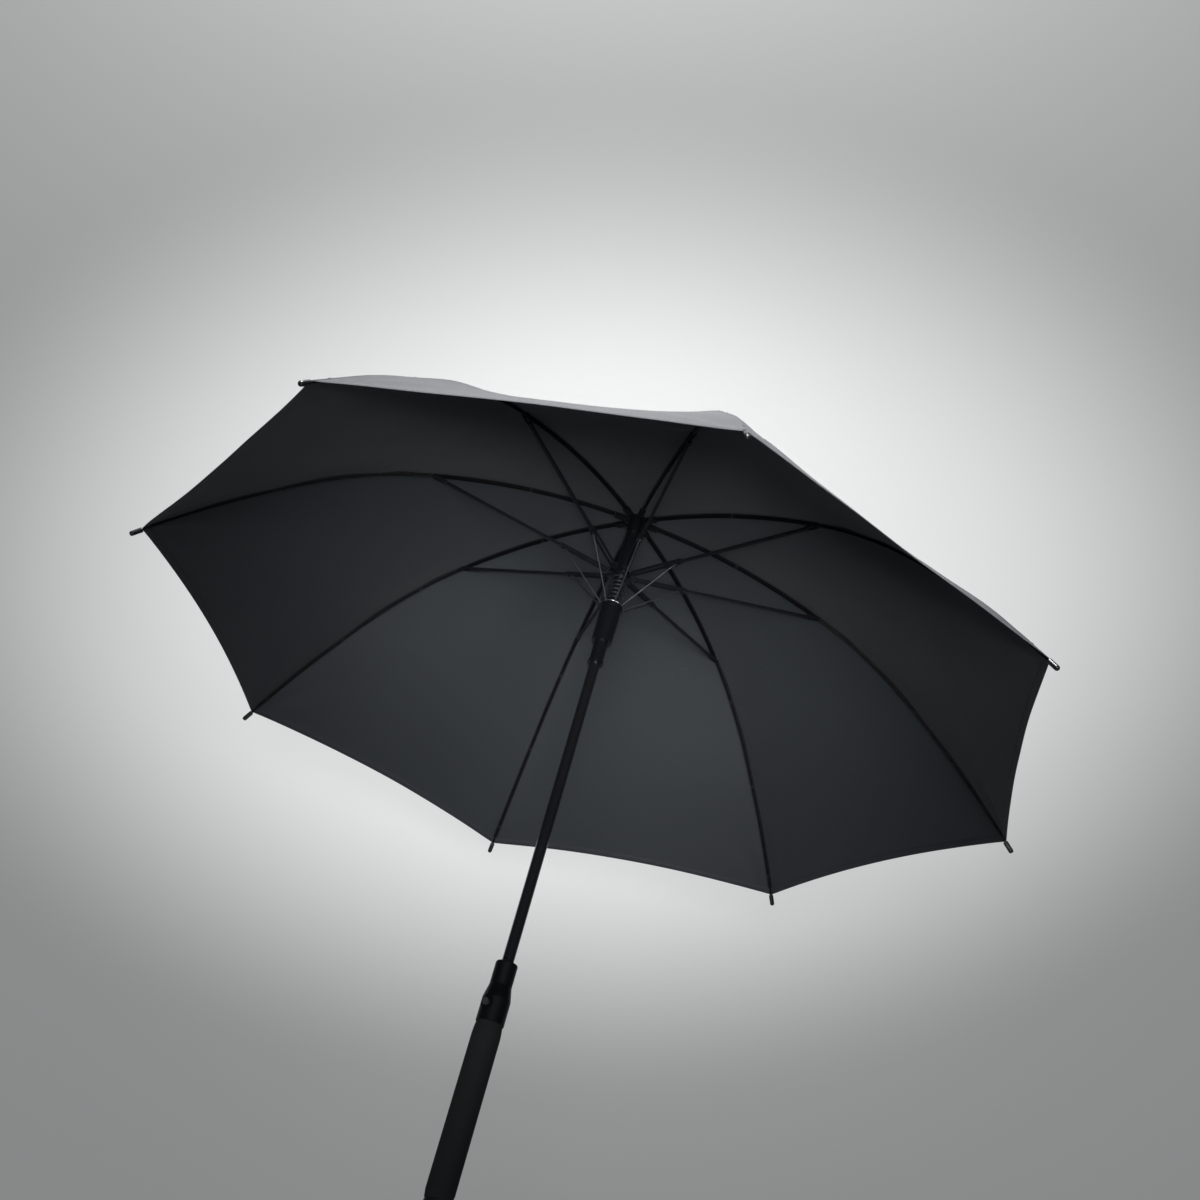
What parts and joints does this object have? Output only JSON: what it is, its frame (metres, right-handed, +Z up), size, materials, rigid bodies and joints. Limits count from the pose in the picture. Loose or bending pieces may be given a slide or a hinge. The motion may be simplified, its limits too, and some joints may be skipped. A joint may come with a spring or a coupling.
{
  "type": "golf umbrella",
  "caption": "Automatic-opening stick umbrella, open: domed fabric canopy on jointed ribs with wire-linked stretchers, two sprung runners on a slim shaft and a straight foam grip.",
  "frame": {"origin": "middle of the grip, on the shaft's axis", "axes": "+Z up along the shaft to the ferrule, +X along rib 1 and out through the push button"},
  "size_m": [1.1976, 1.1976, 0.9944],
  "materials": {
    "shaft_lacquer": "gloss",
    "black_plastic": "gloss",
    "runner_plastic": "satin",
    "ferrule_plastic": "gloss",
    "rib_steel": "satin",
    "flex_rib_fibreglass": "satin",
    "tip_plastic": "gloss",
    "stretcher_steel": "satin",
    "link_steel": "satin",
    "wire_steel": "bright",
    "pin_steel": "satin",
    "spring_steel": "satin",
    "catch_steel": "satin",
    "canopy_fabric": "fine weave",
    "grip_foam": "matt foam",
    "core_plastic": "matt",
    "button_plastic": "gloss"
  },
  "bodies": {
    "shaft": {"shaft": "shaft_lacquer", "ferrule": "ferrule_plastic", "top_cap": "ferrule_plastic", "crown": "black_plastic", "crown_wire": "wire_steel", "crown_pin": "pin_steel", "canopy": "canopy_fabric", "handle_collar": "black_plastic", "handle_core": "core_plastic", "grip": "grip_foam", "end_cap": "ferrule_plastic", "catch_spring": "catch_steel"},
    "push_button": {"push_button": "button_plastic"},
    "upper_runner": {"upper_runner": "runner_plastic", "upper_runner_wire": "wire_steel"},
    "lower_runner": {"lower_runner": "runner_plastic", "lower_runner_wire": "wire_steel", "runner_sleeve": "runner_plastic", "opening_spring": "spring_steel"},
    "rib_1": {"rib_1": "rib_steel"},
    "flex_rib_1": {"flex_rib_1": "flex_rib_fibreglass", "tip_cap_1": "tip_plastic"},
    "stretcher_1": {"stretcher_1": "stretcher_steel"},
    "link_1": {"link_1": "link_steel"},
    "rib_2": {"rib_2": "rib_steel"},
    "flex_rib_2": {"flex_rib_2": "flex_rib_fibreglass", "tip_cap_2": "tip_plastic"},
    "stretcher_2": {"stretcher_2": "stretcher_steel"},
    "link_2": {"link_2": "link_steel"},
    "rib_3": {"rib_3": "rib_steel"},
    "flex_rib_3": {"flex_rib_3": "flex_rib_fibreglass", "tip_cap_3": "tip_plastic"},
    "stretcher_3": {"stretcher_3": "stretcher_steel"},
    "link_3": {"link_3": "link_steel"},
    "rib_4": {"rib_4": "rib_steel"},
    "flex_rib_4": {"flex_rib_4": "flex_rib_fibreglass", "tip_cap_4": "tip_plastic"},
    "stretcher_4": {"stretcher_4": "stretcher_steel"},
    "link_4": {"link_4": "link_steel"},
    "rib_5": {"rib_5": "rib_steel"},
    "flex_rib_5": {"flex_rib_5": "flex_rib_fibreglass", "tip_cap_5": "tip_plastic"},
    "stretcher_5": {"stretcher_5": "stretcher_steel"},
    "link_5": {"link_5": "link_steel"},
    "rib_6": {"rib_6": "rib_steel"},
    "flex_rib_6": {"flex_rib_6": "flex_rib_fibreglass", "tip_cap_6": "tip_plastic"},
    "stretcher_6": {"stretcher_6": "stretcher_steel"},
    "link_6": {"link_6": "link_steel"},
    "rib_7": {"rib_7": "rib_steel"},
    "flex_rib_7": {"flex_rib_7": "flex_rib_fibreglass", "tip_cap_7": "tip_plastic"},
    "stretcher_7": {"stretcher_7": "stretcher_steel"},
    "link_7": {"link_7": "link_steel"},
    "rib_8": {"rib_8": "rib_steel"},
    "flex_rib_8": {"flex_rib_8": "flex_rib_fibreglass", "tip_cap_8": "tip_plastic"},
    "stretcher_8": {"stretcher_8": "stretcher_steel"},
    "link_8": {"link_8": "link_steel"}
  },
  "joints": [
    {"name": "canopy_fold", "type": "hinge", "parent": "shaft", "child": "rib_1", "pos_m": [0.013, 0, 0.812], "axis": [0, 1, 0], "range_deg": [0, 77.73], "stiffness_Nm_per_rad": 1.2, "springref_deg": -80.21, "deforming": ["canopy"]},
    {"name": "flex_rib_1_joint", "type": "hinge", "parent": "rib_1", "child": "flex_rib_1", "pos_m": [0.2776, 0, 0.76642], "axis": [0, 1, 0], "range_deg": [-24.2, 0]},
    {"name": "stretcher_1_joint", "type": "hinge", "parent": "rib_1", "child": "stretcher_1", "pos_m": [0.2776, 0, 0.76642], "axis": [0, 1, 0], "range_deg": [-155.48, 0]},
    {"name": "link_1_joint", "type": "hinge", "parent": "stretcher_1", "child": "link_1", "pos_m": [0.08093, 0, 0.73], "axis": [0, 1, 0], "range_deg": [0, 31.72]},
    {"name": "rib_2_pivot", "type": "hinge", "parent": "shaft", "child": "rib_2", "pos_m": [0.00919, -0.00919, 0.812], "axis": [0.7071, 0.7071, 0], "range_deg": [0, 77.74]},
    {"name": "flex_rib_2_joint", "type": "hinge", "parent": "rib_2", "child": "flex_rib_2", "pos_m": [0.19629, -0.19629, 0.76642], "axis": [0.7071, 0.7071, 0], "range_deg": [-24.2, 0]},
    {"name": "stretcher_2_joint", "type": "hinge", "parent": "rib_2", "child": "stretcher_2", "pos_m": [0.19629, -0.19629, 0.76642], "axis": [0.7071, 0.7071, 0], "range_deg": [-155.48, 0]},
    {"name": "link_2_joint", "type": "hinge", "parent": "stretcher_2", "child": "link_2", "pos_m": [0.05723, -0.05723, 0.73], "axis": [0.7071, 0.7071, 0], "range_deg": [0, 31.72]},
    {"name": "rib_3_pivot", "type": "hinge", "parent": "shaft", "child": "rib_3", "pos_m": [0, -0.013, 0.812], "axis": [1, 0, 0], "range_deg": [0, 77.74]},
    {"name": "flex_rib_3_joint", "type": "hinge", "parent": "rib_3", "child": "flex_rib_3", "pos_m": [0, -0.2776, 0.76642], "axis": [1, 0, 0], "range_deg": [-24.2, 0]},
    {"name": "stretcher_3_joint", "type": "hinge", "parent": "rib_3", "child": "stretcher_3", "pos_m": [0, -0.2776, 0.76642], "axis": [1, 0, 0], "range_deg": [-155.48, 0]},
    {"name": "link_3_joint", "type": "hinge", "parent": "stretcher_3", "child": "link_3", "pos_m": [0, -0.08093, 0.73], "axis": [1, 0, 0], "range_deg": [0, 31.72]},
    {"name": "rib_4_pivot", "type": "hinge", "parent": "shaft", "child": "rib_4", "pos_m": [-0.00919, -0.00919, 0.812], "axis": [0.7071, -0.7071, 0], "range_deg": [0, 77.74]},
    {"name": "flex_rib_4_joint", "type": "hinge", "parent": "rib_4", "child": "flex_rib_4", "pos_m": [-0.19629, -0.19629, 0.76642], "axis": [0.7071, -0.7071, 0], "range_deg": [-24.2, 0]},
    {"name": "stretcher_4_joint", "type": "hinge", "parent": "rib_4", "child": "stretcher_4", "pos_m": [-0.19629, -0.19629, 0.76642], "axis": [0.7071, -0.7071, 0], "range_deg": [-155.48, 0]},
    {"name": "link_4_joint", "type": "hinge", "parent": "stretcher_4", "child": "link_4", "pos_m": [-0.05723, -0.05723, 0.73], "axis": [0.7071, -0.7071, 0], "range_deg": [0, 31.72]},
    {"name": "rib_5_pivot", "type": "hinge", "parent": "shaft", "child": "rib_5", "pos_m": [-0.013, 0, 0.812], "axis": [0, -1, 0], "range_deg": [0, 77.74]},
    {"name": "flex_rib_5_joint", "type": "hinge", "parent": "rib_5", "child": "flex_rib_5", "pos_m": [-0.2776, 0, 0.76642], "axis": [0, -1, 0], "range_deg": [-24.2, 0]},
    {"name": "stretcher_5_joint", "type": "hinge", "parent": "rib_5", "child": "stretcher_5", "pos_m": [-0.2776, 0, 0.76642], "axis": [0, -1, 0], "range_deg": [-155.48, 0]},
    {"name": "link_5_joint", "type": "hinge", "parent": "stretcher_5", "child": "link_5", "pos_m": [-0.08093, 0, 0.73], "axis": [0, -1, 0], "range_deg": [0, 31.72]},
    {"name": "rib_6_pivot", "type": "hinge", "parent": "shaft", "child": "rib_6", "pos_m": [-0.00919, 0.00919, 0.812], "axis": [-0.7071, -0.7071, 0], "range_deg": [0, 77.74]},
    {"name": "flex_rib_6_joint", "type": "hinge", "parent": "rib_6", "child": "flex_rib_6", "pos_m": [-0.19629, 0.19629, 0.76642], "axis": [-0.7071, -0.7071, 0], "range_deg": [-24.2, 0]},
    {"name": "stretcher_6_joint", "type": "hinge", "parent": "rib_6", "child": "stretcher_6", "pos_m": [-0.19629, 0.19629, 0.76642], "axis": [-0.7071, -0.7071, 0], "range_deg": [-155.48, 0]},
    {"name": "link_6_joint", "type": "hinge", "parent": "stretcher_6", "child": "link_6", "pos_m": [-0.05723, 0.05723, 0.73], "axis": [-0.7071, -0.7071, 0], "range_deg": [0, 31.72]},
    {"name": "rib_7_pivot", "type": "hinge", "parent": "shaft", "child": "rib_7", "pos_m": [0, 0.013, 0.812], "axis": [-1, 0, 0], "range_deg": [0, 77.74]},
    {"name": "flex_rib_7_joint", "type": "hinge", "parent": "rib_7", "child": "flex_rib_7", "pos_m": [0, 0.2776, 0.76642], "axis": [-1, 0, 0], "range_deg": [-24.2, 0]},
    {"name": "stretcher_7_joint", "type": "hinge", "parent": "rib_7", "child": "stretcher_7", "pos_m": [0, 0.2776, 0.76642], "axis": [-1, 0, 0], "range_deg": [-155.48, 0]},
    {"name": "link_7_joint", "type": "hinge", "parent": "stretcher_7", "child": "link_7", "pos_m": [0, 0.08093, 0.73], "axis": [-1, 0, 0], "range_deg": [0, 31.72]},
    {"name": "rib_8_pivot", "type": "hinge", "parent": "shaft", "child": "rib_8", "pos_m": [0.00919, 0.00919, 0.812], "axis": [-0.7071, 0.7071, 0], "range_deg": [0, 77.74]},
    {"name": "flex_rib_8_joint", "type": "hinge", "parent": "rib_8", "child": "flex_rib_8", "pos_m": [0.19629, 0.19629, 0.76642], "axis": [-0.7071, 0.7071, 0], "range_deg": [-24.2, 0]},
    {"name": "stretcher_8_joint", "type": "hinge", "parent": "rib_8", "child": "stretcher_8", "pos_m": [0.19629, 0.19629, 0.76642], "axis": [-0.7071, 0.7071, 0], "range_deg": [-155.48, 0]},
    {"name": "link_8_joint", "type": "hinge", "parent": "stretcher_8", "child": "link_8", "pos_m": [0.05723, 0.05723, 0.73], "axis": [-0.7071, 0.7071, 0], "range_deg": [0, 31.72]},
    {"name": "upper_runner_pivot", "type": "hinge", "parent": "stretcher_1", "child": "upper_runner", "pos_m": [0.013, 0, 0.72084], "axis": [0, 1, 0], "range_deg": [0, 77.74]},
    {"name": "lower_runner_slide", "type": "slide", "parent": "upper_runner", "child": "lower_runner", "axis": [0, 0, 1], "range_m": [0, 0.03012], "deforming": ["opening_spring"]},
    {"name": "button_press", "type": "slide", "parent": "shaft", "child": "push_button", "axis": [-1, 0, 0], "range_m": [0, 0.0025], "stiffness_N_per_m": 800, "springref_m": -0.001, "deforming": ["catch_spring"]}
  ],
  "couplings": [
    {"joint": "flex_rib_1_joint", "follows": "canopy_fold", "ratio": -0.31135},
    {"joint": "stretcher_1_joint", "follows": "canopy_fold", "ratio": -2},
    {"joint": "link_1_joint", "follows": "canopy_fold", "ratio": 0.408},
    {"joint": "rib_2_pivot", "follows": "canopy_fold", "ratio": 1},
    {"joint": "flex_rib_2_joint", "follows": "canopy_fold", "ratio": -0.31135},
    {"joint": "stretcher_2_joint", "follows": "canopy_fold", "ratio": -2},
    {"joint": "link_2_joint", "follows": "canopy_fold", "ratio": 0.408},
    {"joint": "rib_3_pivot", "follows": "canopy_fold", "ratio": 1},
    {"joint": "flex_rib_3_joint", "follows": "canopy_fold", "ratio": -0.31135},
    {"joint": "stretcher_3_joint", "follows": "canopy_fold", "ratio": -2},
    {"joint": "link_3_joint", "follows": "canopy_fold", "ratio": 0.408},
    {"joint": "rib_4_pivot", "follows": "canopy_fold", "ratio": 1},
    {"joint": "flex_rib_4_joint", "follows": "canopy_fold", "ratio": -0.31135},
    {"joint": "stretcher_4_joint", "follows": "canopy_fold", "ratio": -2},
    {"joint": "link_4_joint", "follows": "canopy_fold", "ratio": 0.408},
    {"joint": "rib_5_pivot", "follows": "canopy_fold", "ratio": 1},
    {"joint": "flex_rib_5_joint", "follows": "canopy_fold", "ratio": -0.31135},
    {"joint": "stretcher_5_joint", "follows": "canopy_fold", "ratio": -2},
    {"joint": "link_5_joint", "follows": "canopy_fold", "ratio": 0.408},
    {"joint": "rib_6_pivot", "follows": "canopy_fold", "ratio": 1},
    {"joint": "flex_rib_6_joint", "follows": "canopy_fold", "ratio": -0.31135},
    {"joint": "stretcher_6_joint", "follows": "canopy_fold", "ratio": -2},
    {"joint": "link_6_joint", "follows": "canopy_fold", "ratio": 0.408},
    {"joint": "rib_7_pivot", "follows": "canopy_fold", "ratio": 1},
    {"joint": "flex_rib_7_joint", "follows": "canopy_fold", "ratio": -0.31135},
    {"joint": "stretcher_7_joint", "follows": "canopy_fold", "ratio": -2},
    {"joint": "link_7_joint", "follows": "canopy_fold", "ratio": 0.408},
    {"joint": "rib_8_pivot", "follows": "canopy_fold", "ratio": 1},
    {"joint": "flex_rib_8_joint", "follows": "canopy_fold", "ratio": -0.31135},
    {"joint": "stretcher_8_joint", "follows": "canopy_fold", "ratio": -2},
    {"joint": "link_8_joint", "follows": "canopy_fold", "ratio": 0.408},
    {"joint": "upper_runner_pivot", "follows": "canopy_fold", "ratio": 1},
    {"joint": "lower_runner_slide", "follows": "canopy_fold", "m_per_rad": 0.022196}
  ]
}
